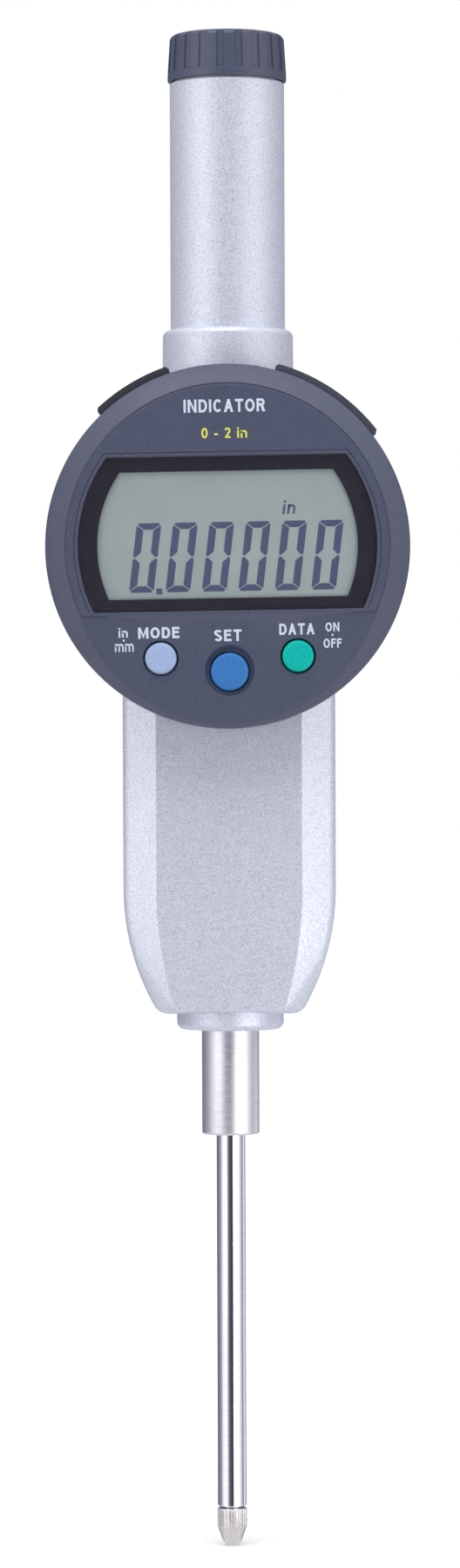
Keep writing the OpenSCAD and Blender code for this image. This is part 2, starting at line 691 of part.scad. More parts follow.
module battery_contacts() color(brass) on_face() rotate([0, 0, battery_angle]) {
    translate([battery_at - 4, -2, back_inner_d + slip]) cube([6, 4, 0.3]);
    translate([battery_at - battery_r - 0.4, -2.5, back_inner_d + slip]) cube([0.3, 5, 2.8]);
}

module rim_cover(angles, r_out) {
    translate([0, 0, 11.6]) linear_extrude(7) sector(angles[0], angles[1], cover_in_r, r_out - 0.3);
    translate([0, 0, 11.9]) linear_extrude(6.4)
        sector(angles[0] + 0.5, angles[1] - 0.5, cover_in_r, r_out);
}

// The lid's two screws lie side by side, along the way the lid comes off
module at_lid_screws() {
    rotate([0, 0, battery_angle]) for (side = [-1, 1])
        translate([lid_screw_x, side * lid_screw_apart / 2, 15.1]) rotate([0, 90, 0]) children();
}

module battery_lid() color([0.25, 0.26, 0.30]) on_face() difference() {
    rim_cover(lid_angles, lid_r);
    at_lid_screws() flat_screw_hole(1.4, 0.7, 0.7, 5);
    at_lid_screws() cylinder(h = 3, r = 1.42);
}

module lid_screws() color(steel) on_face() at_lid_screws() flat_screw(1.4, 0.7, 0.7, 3.6);

module data_socket() color(black) on_face() rotate([0, 0, socket_angle]) difference() {
    translate([22.2, -4.6, back_inner_d + slip]) cube([5.8, 9.2, 2.9]);
    translate([23.5, -3.8, back_inner_d + 0.6]) cube([6, 7.6, 1.8]);
}

module connector_cover() color(black) on_face() {
    rim_cover(plug_angles, plug_r);
}

// A button: rounded cap, retaining flange and stem down to its switch
module button(r, top) {
    rotate_extrude() polygon(concat(
        [[0, button_foot_d], [1.2, button_foot_d], [1.2, 18.5], [r + 0.9, 18.5], [r + 0.9, 19.2],
        [r, 19.2]],
        arc(r - 0.5, top - 0.5, 0.5, 0, 80, 6),
        [[0, top + 0.02]]));
}

module mode_button() color([0.73, 0.76, 0.90]) on_face()
    translate([-round_button[0], round_button[1], 0]) button(small_button_r, small_button_top);

module set_button() color([0.25, 0.50, 0.80]) on_face()
    translate([0, set_button_y, 0]) button(set_button_r, set_button_top);

module data_button() color([0, 0.72, 0.62]) on_face()
    translate([round_button[0], round_button[1], 0]) button(small_button_r, small_button_top);

main_case();
rear_cover();
rear_cover_screws();
lug_back();
lug_screws();
upper_tube();
tube_cap();
stem();
lower_bushing();
spindle_wiper();
upper_bushing();
guide_rail();
detector_board();
detector_chip();
detector_bracket();
bracket_screws();
return_spring();
spring_post();
lower_bumper();
swivel_hub();
hub_retainer();
hub_screws();
friction_ring();
flex_coil();
spindle();
contact_point();
scale_carrier();
carrier_screw();
scale_strip();
guide_roller();
spindle_top();
bezel();
face_back();
face_screws();
window();
display_mask();
lcd_panel();
zebra_strip();
main_board();
board_parts();
key_switches();
battery_cell();
battery_contacts();
battery_lid();
lid_screws();
data_socket();
connector_cover();
mode_button();
set_button();
data_button();
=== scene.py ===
import json
import math

import bmesh
import bpy
import numpy as np
from mathutils import Matrix, Vector


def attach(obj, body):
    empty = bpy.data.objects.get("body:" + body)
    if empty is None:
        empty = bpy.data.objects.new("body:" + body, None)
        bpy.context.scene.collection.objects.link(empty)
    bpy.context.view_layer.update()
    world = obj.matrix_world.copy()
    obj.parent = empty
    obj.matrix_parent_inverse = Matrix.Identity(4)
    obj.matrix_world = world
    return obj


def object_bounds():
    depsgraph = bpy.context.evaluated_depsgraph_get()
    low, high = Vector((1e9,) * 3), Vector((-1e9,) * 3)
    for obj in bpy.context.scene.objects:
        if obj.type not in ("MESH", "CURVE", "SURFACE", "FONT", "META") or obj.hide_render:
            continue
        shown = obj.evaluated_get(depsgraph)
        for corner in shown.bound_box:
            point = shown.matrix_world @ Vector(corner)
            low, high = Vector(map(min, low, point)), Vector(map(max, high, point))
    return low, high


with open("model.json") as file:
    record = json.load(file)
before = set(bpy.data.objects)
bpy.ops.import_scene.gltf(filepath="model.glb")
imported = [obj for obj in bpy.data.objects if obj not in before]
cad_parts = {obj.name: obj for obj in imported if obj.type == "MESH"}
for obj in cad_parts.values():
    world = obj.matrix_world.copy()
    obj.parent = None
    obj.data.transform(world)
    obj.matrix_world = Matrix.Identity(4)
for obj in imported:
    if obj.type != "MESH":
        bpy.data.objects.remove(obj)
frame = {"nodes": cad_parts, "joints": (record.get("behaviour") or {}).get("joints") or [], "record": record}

# Digital dial indicator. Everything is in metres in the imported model's frame: +Z up the spindle,
# -Y towards the reader, origin in the middle of the stem's clamping length.

MM = 0.001
CAD_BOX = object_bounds()
NODES = frame["nodes"]
JOINTS = {joint["name"]: joint for joint in frame["joints"]}

# The face's own frame: millimetres right (x), up (y) and forward (depth) from a centre on the spindle's axis
FACE_CENTRE = Vector(JOINTS["face_turn"]["pos_m"])
FACE_TURN = math.radians(0.8)
PANEL_DEPTH = 22.0
BUTTON_PANEL_TOP = -11.0
BUTTON_PANEL_DEPTH = 21.75
BUTTON_PANEL_LEAN = math.tan(math.radians(6))
GLASS_DEPTH = 20.4

# Camera: far off in front, just under the height of the face's lower rim. The image is 1800 pixels high.
EYE = Vector((7.0, -800.0, 56.7)) * MM
TARGET = Vector((0.08, 0.0, 49.45)) * MM
ROLL = math.radians(-0.217)
PIXELS_PER_MM = 6.9
IMAGE_HEIGHT = 1800
SENSOR = 36.0


# ---- Meshes ----

def on_face(x, y, depth):
    """A point of the face's own frame, in millimetres, as a point of the model."""
    c, s = math.cos(FACE_TURN), math.sin(FACE_TURN)
    return FACE_CENTRE + Vector((x * c - y * s, -depth, x * s + y * c)) * MM


def panel_depth(y):
    """Depth of the front at height y: flat above, leaning back on the button panel."""
    if y > BUTTON_PANEL_TOP:
        return PANEL_DEPTH
    return BUTTON_PANEL_DEPTH + (y - BUTTON_PANEL_TOP) * BUTTON_PANEL_LEAN


def add_piece(name, mesh, body, material):
    """Puts a mesh in the scene as a piece that moves with body."""
    piece = bpy.data.objects.new(name, mesh)
    bpy.context.scene.collection.objects.link(piece)
    mesh.materials.clear()
    mesh.materials.append(material)
    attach(piece, body)


def plates(name, outlines, depth_of, thickness):
    """Closed thin plates from outlines in the face's frame, standing on the surface depth_of gives."""
    bm = bmesh.new()
    for outline in outlines:
        low = [bm.verts.new(on_face(x, y, depth_of(y))) for x, y in outline]
        high = [bm.verts.new(on_face(x, y, depth_of(y) + thickness)) for x, y in outline]
        bm.faces.new(high)
        bm.faces.new(low[::-1])
        count = len(low)
        for i in range(count):
            j = (i + 1) % count
            bm.faces.new((low[i], low[j], high[j], high[i]))
    bmesh.ops.recalc_face_normals(bm, faces=bm.faces)
    mesh = bpy.data.meshes.new(name)
    bm.to_mesh(mesh)
    bm.free()
    return mesh


def arc_points(cx, cy, rx, ry, start, end, count):
    """Points along part of an ellipse, from start to end in degrees, in count steps."""
    angles = [math.radians(start + (end - start) * i / count) for i in range(count + 1)]
    return [(cx + rx * math.cos(a), cy + ry * math.sin(a)) for a in angles]


def ribbon(path, width, closed=False):
    """Polygons of a stroke along path, mitred where it bends."""
    sharpest = 0.35
    count = len(path)
    left, right = [], []
    for i, (x, y) in enumerate(path):
        ahead = path[(i + 1) % count] if closed or i < count - 1 else None
        behind = path[i - 1] if closed or i > 0 else None
        steps = []
        if behind:
            steps.append(Vector((x - behind[0], y - behind[1])).normalized())
        if ahead:
            steps.append(Vector((ahead[0] - x, ahead[1] - y)).normalized())
        sides = [Vector((-step.y, step.x)) for step in steps]
        side = sum(sides, Vector((0, 0))).normalized()
        reach = width / 2 / max(side.dot(sides[0]), sharpest)
        left.append((x + side.x * reach, y + side.y * reach))
        right.append((x - side.x * reach, y - side.y * reach))
    if closed:
        left.append(left[0])
        right.append(right[0])
    return [(left[i], right[i], right[i + 1], left[i + 1]) for i in range(len(left) - 1)]


def bar(x0, y0, x1, y1):
    """One upright rectangle, as a list of polygons."""
    return [((x0, y0), (x1, y0), (x1, y1), (x0, y1))]


def smooth_cad(node, limit):
    """Shades a node of triangles smooth across edges flatter than limit, and moves no point."""
    same_place = 2e-7
    no_area = 1e-16
    no_length = 1e-20
    no_normal = 1e-12
    mesh = node.data
    count = len(mesh.loops)
    corner_vert = np.zeros(count, np.int64)
    mesh.loops.foreach_get("vertex_index", corner_vert)
    points = np.zeros(len(mesh.vertices) * 3)
    mesh.vertices.foreach_get("co", points)
    corners = points.reshape(-1, 3)[corner_vert]
    triangles = corners.reshape(-1, 3, 3)
    normal = np.cross(triangles[:, 1] - triangles[:, 0], triangles[:, 2] - triangles[:, 0])
    length = np.linalg.norm(normal, axis=1, keepdims=True)
    normal = normal / np.maximum(length, no_length)
    # A triangle counts at each corner by the angle that it has there
    weight = np.zeros((len(triangles), 3))
    for k in range(3):
        a = triangles[:, (k + 1) % 3] - triangles[:, k]
        b = triangles[:, (k + 2) % 3] - triangles[:, k]
        reach = np.maximum(np.linalg.norm(a, axis=1) * np.linalg.norm(b, axis=1), no_length)
        weight[:, k] = np.arccos(np.clip((a * b).sum(1) / reach, -1, 1))
    weight[length[:, 0] < no_area] = 0
    weight = weight.reshape(-1)
    face = np.repeat(np.arange(len(triangles)), 3)
    # Corners that share a place form a group, and each takes the normals near its own
    cells = np.round(corners / same_place).astype(np.int64)
    _, place = np.unique(cells, axis=0, return_inverse=True)
    order = np.argsort(place.reshape(-1), kind="stable")
    cuts = np.flatnonzero(np.diff(place.reshape(-1)[order])) + 1
    out = np.zeros((count, 3))
    for group in np.split(order, cuts):
        n = normal[face[group]]
        near = (n @ n.T) > math.cos(limit)
        out[group] = (near * weight[group][None, :]) @ n
    flat = np.linalg.norm(out, axis=1) < no_normal
    out[flat] = normal[face[flat]]
    out /= np.maximum(np.linalg.norm(out, axis=1, keepdims=True), no_length)
    mesh.polygons.foreach_set("use_smooth", np.ones(len(triangles), bool))
    mesh.normals_split_custom_set(out.tolist())


# ---- Letters ----
# Each sign is a function of its stroke's thickness t. It gives the sign's width and the polygons that
# it is made of, for capitals of height 1.

def posts(w, t):
    """The two uprights of a sign of width w."""
    return bar(0, 0, t, 1) + bar(w - t, 0, w, 1)


def oval(w, t):
    h = t / 2
    return w, ribbon(arc_points(w / 2, 0.5, w / 2 - h, 0.5 - h, 0, 360, 28)[:-1], t, closed=True)


def letter_o(t):
    return oval(0.80, t)


def digit_zero(t):
    return oval(0.60, t)


def letter_i(t):
    return t, bar(0, 0, t, 1)


def letter_n(t):
    w = 0.74
    slant = 1.25 * t * 1.35
    return w, posts(w, t) + [((t, 1), (t, 1 - slant), (w - t, 0), (w - t, slant))]


def letter_m(t):
    w = 0.88
    mid = 0.44
    drop = 1.7 * t
    return w, posts(w, t) + [
        ((t, 1), (t, 1 - drop), (mid, 0.0), (mid, drop)),
        ((w - t, 1), (mid, drop), (mid, 0.0), (w - t, 1 - drop))]


def letter_t(t):
    w = 0.68
    h = t / 2
    return w, bar(0, 1 - t, w, 1) + bar(w / 2 - h, 0, w / 2 + h, 1 - t)


def middle_arm(w, t):
    h = t / 2
    middle = 0.54
    return bar(t, middle - h, w * 0.92, middle + h)


def letter_e(t):
    w = 0.62
    h = t / 2
    return w, ribbon([(w, 1 - h), (h, 1 - h), (h, h), (w, h)], t) + middle_arm(w, t)


def letter_f(t):
    w = 0.58
    h = t / 2
    return w, ribbon([(w, 1 - h), (h, 1 - h), (h, 0)], t) + middle_arm(w, t)


def letter_c(t):
    w = 0.74
    h = t / 2
    return w, ribbon(arc_points(w / 2 + 0.01, 0.5, w / 2 - h, 0.5 - h, 42, 318, 24), t)


def letter_d(t):
    w = 0.72
    h = t / 2
    bowl_r = 0.38
    bowl = arc_points(w - bowl_r, 0.5, bowl_r - h, 0.5 - h, 90, -90, 16)
    return w, ribbon([(h, 1 - h)] + bowl + [(h, h)], t, closed=True)


def letter_r(t):
    w = 0.72
    h = t / 2
    fork = 0.44
    bowl = arc_points(w - 0.30, 0.72, 0.26 - h, 0.28 - h, 90, -90, 12)
    leg = [((0.34, fork), (0.34 + 1.2 * t, fork), (w, 0), (w - 1.25 * t, 0))]
    return w, ribbon([(h, 0), (h, 1 - h)] + bowl + [(t, fork + h)], t) + leg


def letter_a(t):
    w = 0.78
    apex = 0.09
    foot = 1.12 * t
    crotch = 1 - 2.1 * t
    bar_low = 0.26
    bar_high = bar_low + 0.9 * t
    left = ((0, 0), (foot, 0), (w / 2, crotch), (w / 2, 1), (w / 2 - apex, 1))
    right = tuple((w - x, y) for x, y in reversed(left))
    edge_low = foot + (w / 2 - foot) * bar_low / crotch
    edge_high = foot + (w / 2 - foot) * bar_high / crotch
    cross_bar = ((edge_low, bar_low), (w - edge_low, bar_low), (w - edge_high, bar_high),
                 (edge_high, bar_high))
    return w, [left, right, cross_bar]


def letter_s(t):
    w = 0.66
    h = t / 2
    upper = arc_points(w / 2, 0.735, w / 2 - h, 0.265 - h, 20, 250, 14)
    lower = arc_points(w / 2, 0.275, w / 2 - h, 0.275 - h, 70, -160, 14)
    return w, ribbon(upper + lower, t)


def digit_two(t):
    w = 0.58
    h = t / 2
    top = arc_points(w / 2, 0.70, w / 2 - h, 0.30 - h, 165, -35, 14)
    return w, ribbon(top + [(0.08 + h, h * 1.6)], t) + bar(0.04, 0, w, t)


def dash(t):
    w = 0.34
    h = t / 2
    return w, bar(0, 0.38 - h, w, 0.38 + h)


def space(t):
    return 0.30, []


SMALL_HEIGHT = 0.72


def small_i(t):
    return t, bar(0, 0, t, SMALL_HEIGHT) + bar(0, 1 - t, t, 1)


def arches(count, t):
    """A post and count arches after it, as in n and m."""
    h = t / 2
    span = 0.44
    shapes = bar(0, 0, t, SMALL_HEIGHT)
    for k in range(count):
        centre = h + span * (k + 0.5)
        arch = arc_points(centre, 0.44, span / 2, 0.28 - h, 180, 0, 12)
        shapes += ribbon(arch + [(centre + span / 2, 0)], t)
    return t + span * count, shapes


def small_n(t):
    return arches(1, t)


def small_m(t):
    return arches(2, t)


SIGNS = {
    "A": letter_a, "C": letter_c, "D": letter_d, "E": letter_e, "F": letter_f, "I": letter_i,
    "M": letter_m, "N": letter_n, "O": letter_o, "R": letter_r, "S": letter_s, "T": letter_t,
    "i": small_i, "m": small_m, "n": small_n, "0": digit_zero, "2": digit_two, "-": dash, " ": space,
}


def words(name, text, width, height, centre, depth_of, thickness, bold, gap=0.16, lean=0.0):
    """Plain lettering of a width and height in millimetres, laid on the face round a centre."""
    shapes = []
    at = 0.0
    for sign in text:
        wide, polygons = SIGNS[sign](bold)
        shapes += [[(x + at, y) for x, y in polygon] for polygon in polygons]
        at += wide + gap
    length = at - gap
    stretch = width / length
    placed = [[((x - length / 2) * stretch + centre[0] + (y - 0.5) * height * lean,
                (y - 0.5) * height + centre[1]) for x, y in shape] for shape in shapes]
    return plates(name, placed, depth_of, thickness)


# ---- Materials ----

# Nearly all of a noise texture's values lie between these two
NOISE_LOW = 0.3
NOISE_HIGH = 0.7
WHITE = (1.0, 1.0, 1.0)


def shade(colour, factor):
    return tuple(c * factor for c in colour)


class Tree:
    """Short ways to add nodes to a node tree and to join them."""

    def __init__(self, tree):
        self.tree = tree

    def add(self, kind, **values):
        node = self.tree.nodes.new(kind)
        for key, value in values.items():
            setattr(node, key, value)
        return node

    def feed(self, socket, value):
        """Joins another node's output to a socket, or sets the socket to a number or colour."""
        if isinstance(value, bpy.types.NodeSocket):
            self.tree.links.new(value, socket)
        else:
            socket.default_value = value

    def remap(self, value, start, end, low, high, kind="LINEAR"):
        """Takes value's range from start to end to the range from low to high."""
        node = self.add("ShaderNodeMapRange", interpolation_type=kind)
        numbers = {"Value": value, "From Min": start, "From Max": end, "To Min": low, "To Max": high}
        for socket, number in numbers.items():
            self.feed(node.inputs[socket], number)
        return node.outputs["Result"]

    def maths(self, operation, a, b):
        node = self.add("ShaderNodeMath", operation=operation)
        self.feed(node.inputs[0], a)
        self.feed(node.inputs[1], b)
        return node.outputs["Value"]

    def mix_numbers(self, factor, a, b):
        node = self.add("ShaderNodeMix", data_type="FLOAT")
        for index, value in ((0, factor), (2, a), (3, b)):
            self.feed(node.inputs[index], value)
        return node.outputs[0]

    def mix_colours(self, factor, a, b, blend="MIX"):
        node = self.add("ShaderNodeMix", data_type="RGBA", blend_type=blend)
        for index, value in ((0, factor), (6, a), (7, b)):
            self.feed(node.inputs[index], value)
        return node.outputs[2]


class Look(Tree):
    """A principled material whose colour, roughness and bump are nodes in the object's own metres."""

    def __init__(self, name, metallic=0.0, roughness=0.5):
        self.material = bpy.data.materials.new(name)
        self.material.use_nodes = True
        super().__init__(self.material.node_tree)
        self.shader = next(n for n in self.tree.nodes if n.type == "BSDF_PRINCIPLED")
        self.set("Metallic", metallic)
        self.set("Roughness", roughness)
        self.place = self.add("ShaderNodeTexCoord").outputs["Object"]

    def set(self, socket, value):
        self.feed(self.shader.inputs[socket], value)

    def stretched(self, x, y, z):
        node = self.add("ShaderNodeMapping")
        node.inputs["Scale"].default_value = (x, y, z)
        self.feed(node.inputs["Vector"], self.place)
        return node.outputs["Vector"]

    def noise(self, scale, detail, place=None):
        node = self.add("ShaderNodeTexNoise")
        node.inputs["Scale"].default_value = scale
        node.inputs["Detail"].default_value = detail
        self.feed(node.inputs["Vector"], place or self.place)
        return node.outputs["Fac"]

    def ramp(self, value, stops):
        node = self.add("ShaderNodeValToRGB")
        band = node.color_ramp
        while len(band.elements) < len(stops):
            band.elements.new(0.5)
        for element, (position, colour) in zip(band.elements, stops):
            element.position = position
            element.color = (*colour, 1.0)
        self.feed(node.inputs["Fac"], value)
        return node.outputs["Color"]

    def grain(self, noise, low, high):
        """Colour from low to high with a noise."""
        return self.ramp(noise, [(NOISE_LOW, low), (NOISE_HIGH, high)])

    def rough(self, noise, low, high):
        self.set("Roughness", self.remap(noise, NOISE_LOW, NOISE_HIGH, low, high))

    def colour(self, output):
        self.set("Base Color", output)

    def bump(self, height, distance, strength, edge=0.00015):
        """Fine relief on top of edges rounded by edge metres."""
        rounded = self.add("ShaderNodeBevel", samples=6)
        rounded.inputs["Radius"].default_value = edge
        node = self.add("ShaderNodeBump")
        node.inputs["Strength"].default_value = strength
        node.inputs["Distance"].default_value = distance
        self.feed(node.inputs["Height"], height)
        self.feed(node.inputs["Normal"], rounded.outputs["Normal"])
        self.set("Normal", node.outputs["Normal"])


def silver_paint():
    """Silver paint with a fine metal flake and slight orange peel."""
    look = Look("silver_paint", metallic=0.42)
    base = (0.80, 0.83, 0.94)
    dark, light = shade(base, 0.70), shade(base, 1.08)
    flake = look.ramp(look.noise(4400, 2), [(0.32, dark), (0.5, base), (0.68, light)])
    cloud = look.grain(look.noise(90, 3), (0.96, 0.96, 0.97), WHITE)
    look.colour(look.mix_colours(1.0, flake, cloud, "MULTIPLY"))
    look.rough(look.noise(2600, 2), 0.38, 0.54)
    look.bump(look.noise(4200, 2), 0.00001, 0.5, edge=0.0002)
    return look.material


def slate_paint():
    """Dark blue-grey satin paint with a fine grain."""
    look = Look("slate_paint")
    base = (0.088, 0.098, 0.156)
    speckle = look.grain(look.noise(4200, 2), shade(base, 0.86), shade(base, 1.14))
    cloud = look.grain(look.noise(120, 3), (0.95, 0.95, 0.96), WHITE)
    look.colour(look.mix_colours(1.0, speckle, cloud, "MULTIPLY"))
    look.rough(look.noise(900, 3), 0.27, 0.38)
    look.bump(look.noise(5000, 2), 0.000006, 0.4)
    return look.material


def turned_steel():
    """Satin steel with fine turning marks across the axis."""
    look = Look("turned_steel", metallic=1.0)
    rings = look.noise(1.0, 3, look.stretched(300, 300, 9000))
    base = (0.88, 0.86, 0.92)
    look.colour(look.grain(rings, shade(base, 0.88), shade(base, 1.04)))
    look.rough(look.noise(1.0, 2, look.stretched(500, 500, 5000)), 0.35, 0.46)
    look.bump(rings, 0.000006, 0.35)
    return look.material


def ground_steel():
    """Ground and polished steel, with faint marks round it."""
    look = Look("ground_steel", metallic=1.0)
    rings = look.noise(1.0, 2, look.stretched(200, 200, 7000))
    base = (0.84, 0.835, 0.90)
    look.colour(look.grain(rings, shade(base, 0.93), shade(base, 1.03)))
    look.rough(look.noise(1.0, 3, look.stretched(400, 400, 1500)), 0.07, 0.13)
    look.bump(rings, 0.000002, 0.25)
    return look.material


def plain_metal(name, base, roughness, metallic=1.0):
    """Metal with a fine even grain."""
    look = Look(name, metallic=metallic)
    speckle = look.noise(2500, 3)
    look.colour(look.grain(speckle, shade(base, 0.85), shade(base, 1.08)))
    look.rough(look.noise(700, 3), roughness - 0.06, roughness + 0.08)
    look.bump(speckle, 0.000008, 0.4)
    return look.material


def moulded(name, base, roughness, grain_size=3500, gloss=0.5):
    """Moulded plastic or rubber with a fine texture."""
    look = Look(name)
    look.set("Specular IOR Level", gloss)
    speckle = look.noise(grain_size, 2)
    look.colour(look.grain(speckle, shade(base, 0.90), shade(base, 1.08)))
    look.rough(look.noise(800, 3), roughness - 0.05, roughness + 0.07)
    look.bump(speckle, 0.000008, 0.35)
    return look.material


def circuit_board():
    """Green board with a pattern of lighter tracks."""
    look = Look("circuit_board")
    tracks = look.add("ShaderNodeTexBrick")
    tracks.inputs["Scale"].default_value = 420
    tracks.inputs["Mortar Size"].default_value = 0.03
    tracks.inputs["Color1"].default_value = (0.012, 0.10, 0.045, 1)
    tracks.inputs["Color2"].default_value = (0.010, 0.085, 0.040, 1)
    tracks.inputs["Mortar"].default_value = (0.03, 0.17, 0.08, 1)
    look.feed(tracks.inputs["Vector"], look.place)
    look.colour(tracks.outputs["Color"])
    look.rough(look.noise(900, 2), 0.28, 0.42)
    return look.material


def display_glass():
    """The reflective back of a liquid-crystal display, grey-green."""
    look = Look("display_glass")
    base = (0.34, 0.39, 0.396)
    look.colour(look.grain(look.noise(160, 3), shade(base, 0.97), shade(base, 1.03)))
    look.rough(look.noise(3000, 2), 0.5, 0.6)
    return look.material


def clear_lens():
    """Clear polished window: mostly see-through, with the gloss of its surface."""
    look = Look("clear_lens")
    look.set("Transmission Weight", 1.0)
    look.set("IOR", 1.49)
    haze = look.noise(400, 2)
    look.colour(look.grain(haze, (0.97, 0.98, 0.98), WHITE))
    look.rough(haze, 0.02, 0.06)
    return look.material


def printed(name, base, gloss=0.5):
    """Screen-printed ink."""
    look = Look(name)
    look.set("Specular IOR Level", gloss)
    look.colour(look.grain(look.noise(5000, 2), shade(base, 0.93), shade(base, 1.04)))
    look.rough(look.noise(2500, 2), 0.45, 0.58)
    return look.material


# One look for each material slot of the record
LOOKS = {
    "paint": silver_paint(),
    "slate": slate_paint(),
    "steel": turned_steel(),
    "chrome": ground_steel(),
    "spring_steel": plain_metal("spring_wire", (0.52, 0.52, 0.53), 0.3),
    "alloy": plain_metal("milled_alloy", (0.70, 0.70, 0.71), 0.35),
    "black_screw": plain_metal("black_oxide", (0.03, 0.03, 0.032), 0.45, 0.6),
    "bronze": plain_metal("turned_bronze", (0.66, 0.48, 0.22), 0.32),
    "rubber": moulded("black_rubber", (0.026, 0.027, 0.043), 0.55),
    "black_plastic": moulded("black_plastic", (0.026, 0.025, 0.036), 0.4),
    "lid_plastic": moulded("lid_plastic", (0.052, 0.058, 0.090), 0.5),
    "board": circuit_board(),
    "flex": moulded("amber_film", (0.55, 0.24, 0.03), 0.25),
    "scale": moulded("scale_glass", (0.25, 0.30, 0.28), 0.3),
    "lens": clear_lens(),
    "lcd": display_glass(),
    "cell": plain_metal("plated_can", (0.66, 0.66, 0.67), 0.25),
    "lavender_button": moulded("lavender_plastic", (0.385, 0.485, 0.74), 0.42, 2500, 0.35),
    "blue_button": moulded("blue_plastic", (0.044, 0.197, 0.53), 0.42, 2500, 0.35),
    "green_button": moulded("green_plastic", (0.0, 0.49, 0.43), 0.42, 2500, 0.3),
}
INK = printed("pale_ink", (0.70, 0.75, 0.90))
YELLOW_INK = printed("yellow_ink", (0.80, 0.80, 0.14))
SEGMENT_INK = printed("segment_ink", (0.058, 0.076, 0.158))
# Nodes that differ from the rest of their slot
OWN_LOOKS = {
    "display_mask": printed("mask_ink", (0.022, 0.020, 0.032), 0.12),
    "contact_point": plain_metal("satin_steel", (0.86, 0.82, 0.83), 0.30, 0.95),
}
# An edge steeper than this stays sharp: on the case, and on every other node
CRISP_EDGE = math.radians(20)
SOFT_EDGE = math.radians(32)


def dress_cad():
    """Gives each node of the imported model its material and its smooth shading."""
    for sub in frame["record"]["subparts"]:
        node = NODES[sub["node"]]
        node.data.materials.clear()
        node.data.materials.append(OWN_LOOKS.get(sub["node"], LOOKS[sub["material_slot"]]))
        for polygon in node.data.polygons:
            polygon.material_index = 0
        smooth_cad(node, CRISP_EDGE if sub["node"] == "main_case" else SOFT_EDGE)


# ---- Display and lettering, in millimetres on the face ----

SEGMENT_THICKNESS = 0.025
SEGMENT_LIFT = 0.005
INK_THICKNESS = 0.03
DIGIT_PITCH = 5.904
DIGIT_LEFT = -16.1
DIGIT_LOW = -7.38
POINT_CENTRE = (-11.18, -7.22)
POINT_HALF = 0.48
UNIT_CENTRE = (10.12, 6.06)


def segment_depth(y):
    """Depth of the display's signs, just clear of its glass, the same at every height."""
    return GLASS_DEPTH + SEGMENT_LIFT


def zero_segments(x0, y0):
    """The six lit segments of a seven-segment zero, leaning right, from its lower left corner."""
    wide = 4.0
    high = 11.25
    mid = high / 2
    lean = math.tan(math.radians(7.5))
    side_width = 1.2
    top_height = 1.05
    gap = 0.12
    corner = 0.3
    top = [(gap + corner, high), (wide - gap - corner, high), (wide - gap - 0.05, high - corner),
           (wide - side_width - gap, high - top_height), (side_width + gap, high - top_height),
           (gap + 0.05, high - corner)]
    upper = [(0, high - 0.42 - gap), (0.12, high - corner - gap), (side_width, high - top_height - gap),
             (side_width, mid + 0.9), (0.42, mid + gap), (0.16, mid + gap), (0, mid + 0.35)]
    upper_half = [top, upper, [(wide - x, y) for x, y in reversed(upper)]]
    lower_half = [[(x, high - y) for x, y in reversed(shape)] for shape in upper_half]
    return [[(x0 + x + y * lean, y0 + y) for x, y in shape] for shape in upper_half + lower_half]


def display():
    """The digits, the decimal point and the unit, as thin plates on the display's glass."""
    shapes = {f"digit_{i + 1}": zero_segments(DIGIT_LEFT + i * DIGIT_PITCH, DIGIT_LOW) for i in range(6)}
    x, y = POINT_CENTRE
    shapes["decimal_point"] = bar(x - POINT_HALF, y - POINT_HALF, x + POINT_HALF, y + POINT_HALF)
    for name, outlines in shapes.items():
        mesh = plates(name, outlines, segment_depth, SEGMENT_THICKNESS)
        add_piece(name, mesh, "face", SEGMENT_INK)
    unit = words("unit_sign", "in", 2.0, 2.2, UNIT_CENTRE, segment_depth, SEGMENT_THICKNESS,
                 bold=0.17, gap=0.2, lean=0.13)
    add_piece("unit_sign", unit, "face", SEGMENT_INK)


# Name, text, width, height, centre, thickness of the strokes for a height of 1, and ink
LABELS = [
    ("label_mode", "MODE", 6.7, 1.82, (-11.37, -13.93), 0.215, INK),
    ("label_set", "SET", 4.45, 1.86, (-0.19, -14.54), 0.20, INK),
    ("label_data", "DATA", 5.7, 1.82, (10.99, -13.71), 0.20, INK),
    ("label_in", "in", 1.5, 1.55, (-17.13, -13.83), 0.19, INK),
    ("label_mm", "mm", 3.05, 1.85, (-17.0, -16.0), 0.17, INK),
    ("label_on", "ON", 2.25, 1.45, (16.74, -13.47), 0.19, INK),
    ("label_off", "OFF", 2.95, 1.5, (16.74, -16.1), 0.19, INK),
    ("title", "INDICATOR", 13.2, 2.1, (-0.1, 22.6), 0.19, INK),
    ("range_sign", "0 - 2 in", 7.4, 1.7, (-0.2, 18.2), 0.17, YELLOW_INK),
]
# Dots between the two words of a pair
DOTS = {"dot_units": (-17.05, -15.08), "dot_power": (16.74, -14.75)}
DOT_R = 0.17


def lettering():
    """The printed words and dots round the display."""
    for name, text, width, height, centre, bold, ink in LABELS:
        mesh = words(name, text, width, height, centre, panel_depth, INK_THICKNESS, bold)
        add_piece(name, mesh, "face", ink)
    for name, (x, y) in DOTS.items():
        outline = arc_points(x, y, DOT_R, DOT_R, 0, 360, 16)[:-1]
        mesh = plates(name, [outline], panel_depth, INK_THICKNESS)
        add_piece(name, mesh, "face", INK)


# ---- Stage ----

FLOOR_R = 6.0
# The floor glows: by GLOW_LOW up to GLOW_NEAR metres from its middle, rising to GLOW_HIGH at GLOW_FAR
GLOW_NEAR = 0.03
GLOW_FAR = 0.30
GLOW_LOW = 0.12
GLOW_HIGH = 0.32


